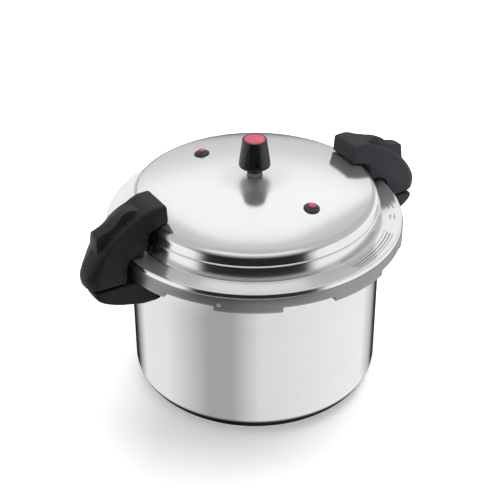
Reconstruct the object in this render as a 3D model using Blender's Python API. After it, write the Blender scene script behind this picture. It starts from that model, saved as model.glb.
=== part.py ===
"""Pressure canner: a 26 cm aluminium pot with a bayonet lid, phenolic handles, a weighted regulator,
two safety valves and a jar rack.

Metres, +Z up. The origin is the centre of the pot's base, and the handles lie along X.
Every size below is given in millimetres and turned into metres where a mesh is made.
"""

import math

import bmesh
import bpy
from mathutils import Matrix, Vector

MM = 0.001
GAP = 0.3  # clearance between touching pieces

# Turned pieces
TURN_STEPS = 72  # facets round the pot and the lid
SMALL_STEPS = 16  # facets round fasteners

# Pot
POT_R = 130.0
POT_WALL = 2.5
POT_BASE = 4.0
POT_CORNER_R = 24.0
POT_TOP_Z = 182.0
RIM_R = 137.0  # the thick rim that carries the lugs
RIM_FLARE_Z = (167.8, 171.6)
LUG_Z = (173.3, 178.5)
LUG_R = 147.5
LUG_FACETS = 3

# Bayonet
LUG_COUNT = 8
LUG_CENTRE_DEG = 11.0
FIRST_FACET_DEG = LUG_CENTRE_DEG - 12.5  # lugs and tabs cover whole facets

# Lid
LID_WALL = 2.2
CROWN_Z = 234.0
DOME_R = 510.0
SHOULDER_R = 9.0
WALL_UPPER_R = 126.4
WALL_LOWER_R = (128.3, 130.1)  # top and bottom of the lower wall, which leans in
LEDGE_Z = (206.3, 204.7)
FLANGE_Z = 190.3
FLANGE_FLAT_R = (133.1, 147.0)
FLANGE_FILLET = 3.0
SKIRT_R = 152.8
SKIRT_EDGE = ((151.2, 189.4), (152.8, 187.3))  # the rolled edge from the flange to the skirt
SKIRT_BOTTOM_Z = 175.6
TAB_BOTTOM_Z = 170.2
TAB_LIP = 2.7
TAB_INNER_R = 141.0
TAB_FACETS = 5

# Gasket
GASKET_R = (128.2, 136.6)
GASKET_Z = (182.4, 187.7)

# Handles: lengths along X from the pot's axis, widths along Y
HANDLE_HALF_W = 19.0
HANDLE_EDGE = 2.6  # rounding of the side edges
LID_HANDLE_INNER_X = 109.8
LID_HANDLE_ARC_X = 123.0  # where the top starts to fall
LID_HANDLE_END_X = 198.0
LID_HANDLE_TOP_Z = 241.5
LID_HANDLE_WIDEST_Z = 179.0
LID_HANDLE_BOTTOM_Z = 168.3
LID_HANDLE_FOOT_Z = 222.0
ARCH = (  # (radius, height) of the hollow under the lid handle, from its lower end to its foot
    (160.5, 168.3),
    (158.6, 171.0),
    (158.1, 180.0),
    (156.6, 189.5),
    (151.5, 195.4),
    (144.0, 197.4),
    (135.2, 197.6),
    (132.8, 216.0),
    (125.5, 219.2),
    (117.0, 221.9),
)
TOP_CURVE_POWER = 1.45
LID_END_ROUNDING = ((10.0, 4.0), (13.0, 1.7))  # how far the end draws back, and its power: front, back
WING_X = (136.0, 181.5)
WING_RISE = 15.0
WING_WAVE = 7.5
WING_Y = (-9.5, 17.0)
BACK_DROP = 2.5  # how far the lid handle's top falls away behind the grip
BACK_DROP_X = (120.0, 146.0)
POT_HANDLE_END_X = 191.5
POT_END_ROUNDING = ((1.0, 4.0), (14.0, 1.5))
ROOT_FLARE = 0.34  # widening of the pot handle where it meets the wall
ROOT_LIFT = 7.5  # how far the root's underside rises towards its sides
ROOT_FLARE_X = 146.0
POT_HANDLE_TOP_Z = 165.8

# Pot handle fixing
BRACKET_PLATE_T = 2.0
BRACKET_PLATE_HALF_W = 16.0
BRACKET_PLATE_Z = (140.5, 162.5)
TONGUE_X = 168.0
TONGUE_HALF_W = 6.0
TONGUE_Z = (150.0, 153.0)
POT_RIVET_Y = 11.0
POT_RIVET_Z = 151.5
POT_SCREW_X = 158.0

# Lid handle fixing
STRAP_HALF_W = 9.0
STRAP_T = 1.8
STRAP_LEG_X = 133.0
STRAP_FOOT_END_X = 147.0
STRAP_TOP_X = 122.5  # inner end of the top plate
LID_RIVET = (141.0, 5.0)
LID_SCREW_X = 128.5

# Vent pipe and weight
PIPE_R = 4.2
PIPE_BORE_R = 1.2
PIPE_TOP_Z = 261.0
THREAD_R = 4.5
HOLE_R = 4.9
WEIGHT_Z = (245.5, 274.6)
WEIGHT_R = (16.0, 12.4)
WEIGHT_CAVITY_R = 9.4
CORE_R = 9.1
WEIGHT_TOP_T = 4.6  # solid top over the cavity
STEAM_HOLE_DEG = (-112.0, 68.0)
STEAM_HOLE_Z = 251.5
CAP_R = 10.8

# Safety valves, on the dome
VALVE_R = 79.2
VALVE_DEG = (-77.0, 103.0)

# Jar rack
RACK_R = 118.0
RACK_Z = (18.0, 19.6)
RACK_HOLES = 8
RACK_HOLE_R = (14.0, 13.0)  # the centre hole and the ring of holes
RACK_HOLE_RING_R = 78.0
RACK_LEGS = 3

ALUMINIUM = ((0.80, 0.80, 0.81), 0.16, 1.0)
SATIN_ALUMINIUM = ((0.62, 0.62, 0.62), 0.38, 1.0)
STEEL = ((0.55, 0.55, 0.56), 0.30, 1.0)
BLACK_STEEL = ((0.040, 0.040, 0.042), 0.40, 1.0)
PHENOLIC = ((0.020, 0.020, 0.021), 0.45, 0.0)
RED = ((0.55, 0.05, 0.08), 0.35, 0.0)
RUBBER = ((0.025, 0.025, 0.025), 0.60, 0.0)
SILICONE = ((0.62, 0.62, 0.60), 0.55, 0.0)


def clear_scene():
    for obj in list(bpy.data.objects):
        bpy.data.objects.remove(obj, do_unlink=True)


def material(name, look):
    colour, roughness, metallic = look
    made = bpy.data.materials.new(name)
    made.use_nodes = True
    shader = made.node_tree.nodes["Principled BSDF"]
    shader.inputs["Base Color"].default_value = (*colour, 1.0)
    shader.inputs["Roughness"].default_value = roughness
    shader.inputs["Metallic"].default_value = metallic
    return made


def add_object(name, bm, look, parent=None, place=Matrix()):
    """Closes the bmesh into a smooth-shaded object. The mesh is in millimetres until here."""
    bmesh.ops.remove_doubles(bm, verts=bm.verts, dist=1e-4)
    bmesh.ops.recalc_face_normals(bm, faces=bm.faces)
    bmesh.ops.transform(bm, matrix=Matrix.Scale(MM, 4), verts=bm.verts)
    mesh = bpy.data.meshes.new(name)
    bm.to_mesh(mesh)
    bm.free()
    mesh.shade_smooth()
    mesh.set_sharp_from_angle(angle=math.radians(35))
    obj = bpy.data.objects.new(name, mesh)
    bpy.context.scene.collection.objects.link(obj)
    obj.matrix_world = place
    if parent is not None:
        obj.parent = parent
    if look is not None:
        mesh.materials.append(material(name, look))
    return obj


def add_axis(name, place, parent=None):
    """An empty on the axis of a moving piece."""
    empty = bpy.data.objects.new(name, None)
    bpy.context.scene.collection.objects.link(empty)
    empty.matrix_world = place
    empty.parent = parent
    return empty


def combine(target, tool, operation="DIFFERENCE"):
    """Cuts the tool out of the target, or joins it on, and keeps the tool as a hidden helper."""
    tool.hide_render = True
    tool.display_type = "WIRE"
    modifier = target.modifiers.new(tool.name, "BOOLEAN")
    modifier.operation = operation
    modifier.solver = "EXACT"
    modifier.object = tool


def turned(outline, steps, first_deg=0.0):
    """A closed (radius, height) outline, spun about Z."""
    bm = bmesh.new()
    start = math.radians(first_deg)
    verts = [bm.verts.new((r * math.cos(start), r * math.sin(start), z)) for r, z in outline]
    edges = [bm.edges.new((a, b)) for a, b in zip(verts, verts[1:])]
    if outline[0][0] > 0.0 or outline[-1][0] > 0.0:
        edges.append(bm.edges.new((verts[-1], verts[0])))
    bmesh.ops.spin(
        bm, geom=verts + edges, cent=(0, 0, 0), axis=(0, 0, 1), angle=math.tau, steps=steps, use_merge=True
    )
    bmesh.ops.remove_doubles(bm, verts=bm.verts, dist=1e-4)
    return bm


def prism(outline, low_y, high_y):
    """An (x, z) outline, extruded along Y."""
    bm = bmesh.new()
    face = bm.faces.new([bm.verts.new((x, low_y, z)) for x, z in outline])
    made = bmesh.ops.extrude_face_region(bm, geom=[face])
    moved = [item for item in made["geom"] if isinstance(item, bmesh.types.BMVert)]
    bmesh.ops.translate(bm, vec=(0, high_y - low_y, 0), verts=moved)
    return bm


def box(low, high):
    (x0, y0, z0), (x1, y1, z1) = low, high
    return prism([(x0, z0), (x1, z0), (x1, z1), (x0, z1)], y0, y1)


def rod(radius, low_z, high_z, steps=SMALL_STEPS):
    return turned([(0, high_z), (radius, high_z), (radius, low_z), (0, low_z)], steps)


def arc(centre, radius, start_deg, end_deg, steps):
    """Points along a circular arc in the (radius, height) plane."""
    points = []
    for i in range(steps + 1):
        a = math.radians(start_deg + (end_deg - start_deg) * i / steps)
        points.append((centre[0] + radius * math.cos(a), centre[1] + radius * math.sin(a)))
    return points


def around(radius, degrees, height=0.0):
    a = math.radians(degrees)
    return Vector((radius * math.cos(a), radius * math.sin(a), height))


def placed(x, y, z, side=1):
    """A place in metres, mirrored to the -X side when side is -1."""
    return Matrix.Translation(Vector((side * x, y, z)) * MM)


def facet_sector(point, facets):
    """True where a point lies in one of the evenly spaced sectors that are this many facets wide."""
    angle = math.degrees(math.atan2(point.y, point.x)) - LUG_CENTRE_DEG
    pitch = 360.0 / LUG_COUNT
    from_centre = (angle + pitch / 2) % pitch - pitch / 2
    return abs(from_centre) < facets * 180.0 / TURN_STEPS


def move_radially(verts, distance):
    for vert in verts:
        outward = Vector((vert.co.x, vert.co.y, 0)).normalized()
        vert.co += outward * distance


def extruded_verts(bm, faces):
    made = bmesh.ops.extrude_face_region(bm, geom=faces)
    bmesh.ops.delete(bm, geom=faces, context="FACES")
    return [item for item in made["geom"] if isinstance(item, bmesh.types.BMVert)]


# ---------------------------------------------------------------- pot


def pot_outline():
    inner_r = POT_R - POT_WALL
    inner_corner = POT_CORNER_R - POT_WALL
    outline = [(RIM_R - 1.0, POT_TOP_Z), (RIM_R, POT_TOP_Z - 1.0), (RIM_R, LUG_Z[1]), (RIM_R, LUG_Z[0])]
    outline += [(RIM_R, RIM_FLARE_Z[1]), (POT_R, RIM_FLARE_Z[0])]
    outline += arc((POT_R - POT_CORNER_R, POT_CORNER_R), POT_CORNER_R, 0, -90, 5)
    outline += [(0, 0), (0, POT_BASE)]
    outline += arc((inner_r - inner_corner, POT_BASE + inner_corner), inner_corner, -90, 0, 3)
    outline += [(inner_r, POT_TOP_Z - 0.6), (inner_r + 0.6, POT_TOP_Z)]
    return outline


def make_pot_body():
    bm = turned(pot_outline() + [(RIM_R - 1.0, POT_TOP_Z)], TURN_STEPS, FIRST_FACET_DEG)
    middle_z = (LUG_Z[0] + LUG_Z[1]) / 2
    lugs = []
    for face in bm.faces:
        centre = face.calc_center_median()
        on_band = abs(centre.z - middle_z) < 0.5 and Vector((centre.x, centre.y)).length > POT_R
        if on_band and facet_sector(centre, LUG_FACETS):
            lugs.append(face)
    move_radially(extruded_verts(bm, lugs), LUG_R - RIM_R)
    return add_object("pot_body", bm, ALUMINIUM)


def drawn_back(y, rounding):
    """How far a handle's outer end draws back at y, in front of its middle (y < 0) and behind it."""
    amount, power = rounding[0] if y < 0 else rounding[1]
    return amount * (abs(y) / HANDLE_HALF_W) ** power


def pot_handle_outline(y):
    """The pot handle's section at y: down the wall, outwards underneath, round the end and back."""
    inset = HANDLE_EDGE if abs(y) == HANDLE_HALF_W else 0.0
    end = POT_HANDLE_END_X - drawn_back(y, POT_END_ROUNDING) - inset
    wall = math.sqrt((POT_R + 0.6) ** 2 - (y * (1 + ROOT_FLARE)) ** 2)
    top = POT_HANDLE_TOP_Z - inset * 0.6
    return [
        (wall, 136.1 + inset),
        (139.0, 137.0 + inset),
        (ROOT_FLARE_X, 138.7 + inset),
        (end - 27.0, 143.6 + inset),
        (end - 17.0, 147.4 + inset),
        (end - 8.0, 152.4 + inset * 0.6),
        (end - 2.4, 157.4),
        (end, 161.8),
        (end - 1.6, top - 1.2),
        (end - 4.5, top),
        (ROOT_FLARE_X, top),
        (139.0, top),
        (wall, top),
    ]


def lofted(outline_at, stations):
    """A solid through the outlines at each station along Y, capped at both ends."""
    bm = bmesh.new()
    rings = [[bm.verts.new((x, y, z)) for x, z in outline_at(y)] for y in stations]
    count = len(rings[0])
    for near, far in zip(rings, rings[1:]):
        for i in range(count):
            j = (i + 1) % count
            bm.faces.new((near[i], near[j], far[j], far[i]))
    bm.faces.new(rings[0])
    bm.faces.new(rings[-1])
    return bm


def mirrored(bm, side):
    if side < 0:
        bmesh.ops.transform(bm, matrix=Matrix.Scale(-1, 4, (1, 0, 0)), verts=bm.verts)
    return bm


def make_pot_handle(label, side):
    half = HANDLE_HALF_W
    stations = [-half, -half + HANDLE_EDGE, -11.0, -4.0, 4.0, 11.0, half - HANDLE_EDGE, half]
    bm = lofted(pot_handle_outline, stations)
    for vert in bm.verts:
        share = min(1.0, max(0.0, (ROOT_FLARE_X - vert.co.x) / (ROOT_FLARE_X - POT_R - 0.6)))
        if vert.co.z < TONGUE_Z[0]:
            vert.co.z += ROOT_LIFT * share**2 * (vert.co.y / HANDLE_HALF_W) ** 4
        vert.co.y *= 1 + ROOT_FLARE * share**2
    handle = add_object("pot_handle_" + label, mirrored(bm, side), PHENOLIC)
    pocket = box(
        (POT_R - 6, -BRACKET_PLATE_HALF_W - 1, BRACKET_PLATE_Z[0] - 1),
        (POT_R + 5.2, BRACKET_PLATE_HALF_W + 1, BRACKET_PLATE_Z[1] + 1),
    )
    combine(handle, add_object("cut_pocket_" + label, mirrored(pocket, side), None))
    slot = box(
        (POT_R, -TONGUE_HALF_W - GAP, TONGUE_Z[0] - GAP),
        (TONGUE_X + GAP, TONGUE_HALF_W + GAP, TONGUE_Z[1] + GAP),
    )
    combine(handle, add_object("cut_slot_" + label, mirrored(slot, side), None))
    stepped = [(0, 157), (2.3, 157), (2.3, 146.3), (4.6, 146.3), (4.6, 130), (0, 130)]
    place = placed(POT_SCREW_X, 0, 0, side)
    way = add_object("cut_screw_way_" + label, turned(stepped, SMALL_STEPS), None, place=place)
    combine(handle, way)


def make_pot_bracket(label, side):
    """A plate that follows the pot's wall, with a tongue that reaches into the handle."""
    inner = POT_R + GAP
    half_angle = math.asin(BRACKET_PLATE_HALF_W / POT_R)
    steps = 6
    bm = bmesh.new()
    ring = []
    for radius, order in ((inner, 1), (inner + BRACKET_PLATE_T, -1)):
        for i in range(steps + 1)[::order]:
            degrees = math.degrees(half_angle * (2 * i / steps - 1))
            ring.append(bm.verts.new(around(radius, degrees, BRACKET_PLATE_Z[0])))
    made = bmesh.ops.extrude_face_region(bm, geom=[bm.faces.new(ring)])
    moved = [item for item in made["geom"] if isinstance(item, bmesh.types.BMVert)]
    bmesh.ops.translate(bm, vec=(0, 0, BRACKET_PLATE_Z[1] - BRACKET_PLATE_Z[0]), verts=moved)
    bracket = add_object("pot_bracket_" + label, mirrored(bm, side), STEEL)
    tongue = box((inner + 1.0, -TONGUE_HALF_W, TONGUE_Z[0]), (TONGUE_X, TONGUE_HALF_W, TONGUE_Z[1]))
    combine(bracket, add_object("join_tongue_" + label, mirrored(tongue, side), None), "UNION")
    hole = rod(2.3, TONGUE_Z[0] - 5, TONGUE_Z[1] + 3)
    place = placed(POT_SCREW_X, 0, 0, side)
    combine(bracket, add_object("cut_tongue_hole_" + label, hole, None, place=place))
    return bracket


def rivet_outline(grip):
    """A rivet along its own Z: the set head outside, the shank through the grip, the flat head inside."""
    outside = [(0, 1.8), (1.6, 1.5), (2.8, 0.6), (2.9, 0)]
    shank = [(1.7, 0), (1.7, -grip)]
    return outside + shank + [(3.4, -grip), (3.2, -grip - 1.0), (0, -grip - 1.2)]


def make_pot_rivets(pot, bracket, label, side):
    outer_face = POT_R + GAP + BRACKET_PLATE_T + GAP
    grip = outer_face - (POT_R - POT_WALL) + GAP
    azimuth = math.degrees(math.asin(POT_RIVET_Y / POT_R))
    for number, sign in ((1, -1), (2, 1)):
        angle = sign * azimuth if side > 0 else 180 - sign * azimuth
        centre = around(outer_face, angle, POT_RIVET_Z) * MM
        turn = Matrix.Rotation(math.radians(angle), 4, "Z") @ Matrix.Rotation(math.radians(90), 4, "Y")
        place = Matrix.Translation(centre) @ turn
        name = "pot_rivet_%s_%d" % (label, number)
        add_object(name, turned(rivet_outline(grip), 12), SATIN_ALUMINIUM, place=place)
        hole = add_object("cut_" + name, rod(2.1, -9, 3, 12), None, place=place)
        combine(pot, hole)
        combine(bracket, hole)


def make_pot_screw(label, side):
    outline = [(0, 156), (2.0, 156), (2.0, 145.8), (4.1, 145.8), (4.1, 143.6), (3.4, 143.0), (0, 143.0)]
    place = placed(POT_SCREW_X, 0, 0, side)
    add_object("pot_handle_screw_" + label, turned(outline, SMALL_STEPS), STEEL, place=place)


# ---------------------------------------------------------------- lid


def dome_z(radius):
    return CROWN_Z - DOME_R + math.sqrt(DOME_R**2 - radius**2)


def lid_outline():
    """From the crown down the outside to the skirt's edge, and back up the inside."""
    shoulder_x = WALL_UPPER_R - SHOULDER_R
    lean = math.degrees(math.asin(shoulder_x / DOME_R))
    top_deg = 90.0 - lean
    join_r = shoulder_x + SHOULDER_R * math.cos(math.radians(top_deg))
    shoulder_z = dome_z(join_r) - SHOULDER_R * math.sin(math.radians(top_deg))
    t = LID_WALL
    outer = [(0, CROWN_Z)] + [(r, dome_z(r)) for r in (40, 80)]
    outer += arc((shoulder_x, shoulder_z), SHOULDER_R, top_deg, 0, 4)
    lower_top, lower_foot = WALL_LOWER_R
    outer += [(WALL_UPPER_R, LEDGE_Z[0]), (lower_top, LEDGE_Z[1])]
    outer += arc((FLANGE_FLAT_R[0], FLANGE_Z + FLANGE_FILLET), FLANGE_FILLET, 190, 270, 2)
    outer += [(FLANGE_FLAT_R[1], FLANGE_Z), *SKIRT_EDGE, (SKIRT_R, SKIRT_BOTTOM_Z)]
    inner = [(SKIRT_R - t, SKIRT_BOTTOM_Z), (SKIRT_R - t, SKIRT_EDGE[1][1] - 0.5), (148.6, FLANGE_Z - t)]
    inner += [(FLANGE_FLAT_R[0] - 0.2, FLANGE_Z - t), (lower_foot - t, FLANGE_Z + 1.1)]
    inner += [(lower_top - t, LEDGE_Z[1] - 0.8), (WALL_UPPER_R - t, LEDGE_Z[0] - 0.8)]
    inner += arc((shoulder_x, shoulder_z), SHOULDER_R - t, 0, top_deg, 2)
    inner += [(r, dome_z(r) - t) for r in (80, 40)] + [(0, CROWN_Z - t)]
    return outer + inner


def make_lid_shell():
    bm = turned(lid_outline(), TURN_STEPS, FIRST_FACET_DEG)
    edge_faces = []
    for face in bm.faces:
        centre = face.calc_center_median()
        if abs(centre.z - SKIRT_BOTTOM_Z) < 0.01 and facet_sector(centre, TAB_FACETS):
            edge_faces.append(face)
    lip_top = TAB_BOTTOM_Z + TAB_LIP
    for depth in (SKIRT_BOTTOM_Z - lip_top, TAB_LIP):
        verts = extruded_verts(bm, edge_faces)
        bmesh.ops.translate(bm, vec=(0, 0, -depth), verts=verts)
        low = min(v.co.z for v in verts)
        edge_faces = [f for f in bm.faces if all(abs(v.co.z - low) < 0.01 for v in f.verts)]
    lip_faces = []
    for face in bm.faces:
        centre = face.calc_center_median()
        radius = Vector((centre.x, centre.y)).length
        inside = radius < SKIRT_R - LID_WALL + 0.2 and abs(face.normal.z) < 0.1
        heights = sorted(v.co.z for v in face.verts)
        on_lip = heights[0] < TAB_BOTTOM_Z + 0.1 and heights[-1] < lip_top + 0.1
        if inside and on_lip and facet_sector(centre, TAB_FACETS - 0.5):
            lip_faces.append(face)
    move_radially(extruded_verts(bm, lip_faces), TAB_INNER_R - (SKIRT_R - LID_WALL))
    lid = add_object("lid_shell", bm, ALUMINIUM)
    combine(lid, add_object("cut_vent_hole", rod(HOLE_R, CROWN_Z - 8, CROWN_Z + 6), None))
    return lid


def make_gasket():
    low, high = GASKET_Z
    inner, outer = GASKET_R
    outline = [(inner + 2.5, high), (outer, high), (outer, low), (inner, low)]
    outline += [(inner, low + 1.6), (inner + 2.5, low + 2.4)]
    add_object("gasket", turned(outline + [outline[0]], 60), SILICONE)


def ramp(value, start, end):
    """0 before start, 1 after end, with a smooth step between."""
    share = min(1.0, max(0.0, (value - start) / (end - start)))
    return share * share * (3 - 2 * share)


def grip_height(x, y):
    """Height of the finger grip over the handle's top: a step in front, and a wave that ends in a step."""
    low, high = WING_X
    front, back = WING_Y
    along = (x - low) / (high - low)
    if along <= 0.0 or along > 1.0 or y <= front or y >= back:
        return 0.0
    across = (y - front) / (back - front)
    wave = WING_WAVE * math.sin(math.pi * along / 0.6) if along < 0.6 else 0.0
    outer = WING_RISE * along**2.4 * min(1.0, ((1 - across) / 0.3) ** 0.5)
    return (outer + wave * (1 - 0.75 * across)) * min(1.0, (y - front) / 1.5)


def back_drop(x, y):
    return BACK_DROP * ramp(x, *BACK_DROP_X) * ramp(y, 0.0, HANDLE_HALF_W)


def lid_handle_outline(y):
    """The lid handle's section at y: up the inner face, over the top, round the end, under the arch."""
    inset = HANDLE_EDGE if abs(y) == HANDLE_HALF_W else 0.0
    length = LID_HANDLE_END_X - LID_HANDLE_ARC_X
    draw_back = drawn_back(y, LID_END_ROUNDING) + inset
    height = LID_HANDLE_TOP_Z - LID_HANDLE_WIDEST_Z - inset
    top = [(LID_HANDLE_INNER_X + inset, LID_HANDLE_TOP_Z - 3.0 - inset)]
    top += [(LID_HANDLE_INNER_X + 3.0 + inset, LID_HANDLE_TOP_Z - inset)]
    stations = [LID_HANDLE_ARC_X, 131.0, 137.0, 143.0, 149.0, 155.0, 161.0, 167.0, 172.0, 177.0]
    stations += [WING_X[1] - 2, WING_X[1], WING_X[1] + 0.4]
    stations += [LID_HANDLE_END_X - short for short in (8.0, 4.5, 1.8, 0.5)]
    for x in stations:
        fall = (x - LID_HANDLE_ARC_X) / length
        z = LID_HANDLE_WIDEST_Z + height * (1 - fall**TOP_CURVE_POWER) ** (1 / TOP_CURVE_POWER)
        z += grip_height(x, y) - back_drop(x, y)
        top.append((x - draw_back * fall**4, z))
    end = LID_HANDLE_END_X - draw_back
    under = [
        (end, LID_HANDLE_WIDEST_Z - 1.0),
        (end - 1.2, LID_HANDLE_BOTTOM_Z + 2.2 + inset * 0.4),
        (end - 4.0, LID_HANDLE_BOTTOM_Z + inset * 0.6),
        *((math.sqrt(radius**2 - y**2), z + inset * 0.3) for radius, z in ARCH),
        (LID_HANDLE_INNER_X + 1.5 + inset, LID_HANDLE_FOOT_Z + inset * 0.3),
        (LID_HANDLE_INNER_X + inset, LID_HANDLE_FOOT_Z + 1.5 + inset),
    ]
    return top + under


def make_lid_handle(label, side):
    half = HANDLE_HALF_W
    front, back = WING_Y
    stations = [-half, -half + HANDLE_EDGE, front - 2.0, front, front + 1.5, -2.0, 5.0]
    stations += [back - 7.0, back - 2.5, half - HANDLE_EDGE + 0.7, half]
    bm = mirrored(lofted(lid_handle_outline, stations), side)
    handle = add_object("lid_handle_" + label, bm, PHENOLIC)
    strap_way = box(
        (STRAP_TOP_X - 2, -STRAP_HALF_W - GAP, FLANGE_Z),
        (STRAP_LEG_X + STRAP_T + GAP, STRAP_HALF_W + GAP, LID_HANDLE_FOOT_Z),
    )
    combine(handle, add_object("cut_strap_way_" + label, mirrored(strap_way, side), None))
    hole = rod(2.2, LID_HANDLE_FOOT_Z - 7, LID_HANDLE_FOOT_Z + 11.5)
    place = placed(LID_SCREW_X, 0, 0, side)
    combine(handle, add_object("cut_lid_screw_" + label, hole, None, place=place))


def make_lid_strap(label, side):
    """A bent strap: foot riveted to the flange, leg, and a top plate screwed up into the handle."""
    foot = FLANGE_Z + GAP
    top = LID_HANDLE_FOOT_Z - GAP
    leg = STRAP_LEG_X
    outline = [
        (leg, foot),
        (STRAP_FOOT_END_X, foot),
        (STRAP_FOOT_END_X, foot + STRAP_T),
        (leg + STRAP_T, foot + STRAP_T),
        (leg + STRAP_T, top),
        (STRAP_TOP_X, top),
        (STRAP_TOP_X, top - STRAP_T),
        (leg, top - STRAP_T),
    ]
    bent = mirrored(prism(outline, -STRAP_HALF_W, STRAP_HALF_W), side)
    strap = add_object("lid_strap_" + label, bent, BLACK_STEEL)
    hole = rod(2.2, top - 7, top + 2)
    place = placed(LID_SCREW_X, 0, 0, side)
    combine(strap, add_object("cut_strap_" + label, hole, None, place=place))
    return strap


def make_lid_rivets(lid, strap, label, side):
    grip = LID_WALL + STRAP_T + 3 * GAP
    top_z = FLANGE_Z + GAP + STRAP_T + GAP
    outline = [(0, 1.5), (1.5, 1.2), (2.5, 0.5), (2.6, 0), (1.6, 0), (1.6, -grip)]
    outline += [(2.4, -grip), (2.2, -grip - 0.9), (0, -grip - 1.0)]
    for number, sign in ((1, -1), (2, 1)):
        place = placed(LID_RIVET[0], sign * LID_RIVET[1], top_z, side)
        name = "lid_rivet_%s_%d" % (label, number)
        add_object(name, turned(outline, 12), SATIN_ALUMINIUM, place=place)
        hole = add_object("cut_" + name, rod(2.0, -grip - 3, 2, 12), None, place=place)
        combine(lid, hole)
        combine(strap, hole)


def make_lid_screw(label, side):
    under = LID_HANDLE_FOOT_Z - GAP - STRAP_T - GAP
    tip = LID_HANDLE_FOOT_Z + 10.5
    outline = [(0, tip), (1.8, tip), (1.8, under), (3.1, under), (3.1, under - 1.6)]
    outline += [(2.4, under - 2.2), (0, under - 2.2)]
    place = placed(LID_SCREW_X, 0, 0, side)
    add_object("lid_handle_screw_" + label, turned(outline, SMALL_STEPS), STEEL, place=place)


def make_vent_pipe():
    collar_low = CROWN_Z + GAP
    thread_low = 221.5
    tube = [(PIPE_R - 1.6, PIPE_TOP_Z), (PIPE_R, PIPE_TOP_Z - 2.5), (PIPE_R, 241), (THREAD_R, 239.0)]
    tube += [(THREAD_R, thread_low + 0.6), (THREAD_R - 0.6, thread_low)]
    tube += [(PIPE_BORE_R, thread_low), (PIPE_BORE_R, PIPE_TOP_Z)]
    pipe = add_object("vent_pipe", turned(tube + [tube[0]], 20), STEEL)
    collar = turned([(0, 239.6), (8.2, 239.6), (8.9, 239.0), (8.9, collar_low), (0, collar_low)], 6)
    combine(pipe, add_object("join_collar", collar, None), "UNION")
    combine(pipe, add_object("cut_pipe_bore", rod(PIPE_BORE_R + 0.2, 215, 265, 12), None))


def make_vent_washer():
    top = CROWN_Z - LID_WALL - 0.4
    outline = [(9.0, top), (9.0, top - 1.8), (HOLE_R, top - 1.8), (HOLE_R, top), (9.0, top)]
    add_object("vent_seal_washer", turned(outline, 24), SILICONE)


def make_vent_nut():
    top = CROWN_Z - LID_WALL - 2.5
    outline = [(0, top), (8.0, top), (8.6, top - 0.6), (8.6, top - 4.4), (8.0, top - 5.0), (0, top - 5.0)]
    nut = add_object("vent_nut", turned(outline, 6), STEEL)
    combine(nut, add_object("cut_nut_thread", rod(HOLE_R, top - 8, top + 3, 20), None))


def valve_place(azimuth):
    """The valve's own frame: on the dome, Z along the dome's normal."""
    lean = math.asin(VALVE_R / DOME_R)
    turn = Matrix.Rotation(math.radians(azimuth), 4, "Z") @ Matrix.Rotation(lean, 4, "Y")
    return Matrix.Translation(around(VALVE_R, azimuth, dome_z(VALVE_R)) * MM) @ turn


def make_valve(lid, number, azimuth):
    axis = add_axis("valve_axis_%d" % number, valve_place(azimuth))
    seat = [(2.4, 3.3), (5.0, 3.2), (6.6, 2.3), (8.15, 0.9), (8.15, 0.4)]
    seat += [(4.9, 0.3), (4.9, -2.6), (7.0, -2.7), (6.8, -5.8), (2.4, -6.0)]
    add_object("valve_seat_%d" % number, turned(seat + [seat[0]], 20), RUBBER, parent=axis)
    pin = [(0, 5.2), (2.2, 5.0), (3.4, 4.3), (3.75, 3.6), (2.0, 3.6)]
    pin += [(2.0, -11.8), (3.2, -11.9), (3.0, -12.8), (0, -12.8)]
    add_object("valve_pin_%d" % number, turned(pin, SMALL_STEPS), RED, parent=axis)
    clip = [(5.0, -10.4), (5.0, -11.5), (2.3, -11.5), (2.3, -10.4), (5.0, -10.4)]
    add_object("valve_clip_%d" % number, turned(clip, SMALL_STEPS), STEEL, parent=axis)
    hole = add_object("cut_valve_hole_%d" % number, rod(5.3, -6, 4, 20), None, parent=axis)
    combine(lid, hole)


# ---------------------------------------------------------------- weight


def make_weight_body():
    low, high = WEIGHT_Z
    wide, narrow = WEIGHT_R
    outline = [(CAP_R + GAP, high - 1.6), (CAP_R + GAP, high), (narrow - 0.5, high), (narrow, high - 0.9)]
    outline += [(wide, low + 3.0), (wide, low + 0.8), (wide - 0.7, low)]
    cavity_top = high - WEIGHT_TOP_T
    outline += [(WEIGHT_CAVITY_R, low), (WEIGHT_CAVITY_R, cavity_top)]
    outline += [(0, cavity_top), (0, high - 1.6)]
    body = add_object("weight_body", turned(outline + [outline[0]], 32), PHENOLIC)
    for number, degrees in enumerate(STEAM_HOLE_DEG, 1):
        turn = Matrix.Rotation(math.radians(degrees), 4, "Z") @ Matrix.Rotation(math.radians(90), 4, "Y")
        place = placed(0, 0, STEAM_HOLE_Z) @ turn
        hole = rod(1.5, WEIGHT_CAVITY_R - 2, wide + 2, 12)
        combine(body, add_object("cut_steam_hole_%d" % number, hole, None, place=place))


def make_weight_core():
    top = WEIGHT_Z[1] - WEIGHT_TOP_T - GAP
    low = WEIGHT_Z[0] + 1.5
    tip = PIPE_TOP_Z + 1.5  # the core's tip closes the vent pipe's end
    outline = [(0, top), (CORE_R, top), (CORE_R, low + 7.5), (CORE_R - 1.1, low + 7.5)]
    outline += [(CORE_R - 1.1, low), (HOLE_R, low), (HOLE_R, PIPE_TOP_Z - 1.5), (1.0, tip), (0, tip)]
    add_object("weight_core", turned(outline, 24), STEEL)


def make_weight_cap():
    high = WEIGHT_Z[1]
    outline = [(0, high + 0.9), (8.5, high + 0.8), (CAP_R - 0.3, high + 0.3), (CAP_R, high - 0.4)]
    outline += [(CAP_R, high - 1.3), (0, high - 1.3)]
    add_object("weight_cap", turned(outline, 32), RED)


# ---------------------------------------------------------------- rack


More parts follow.
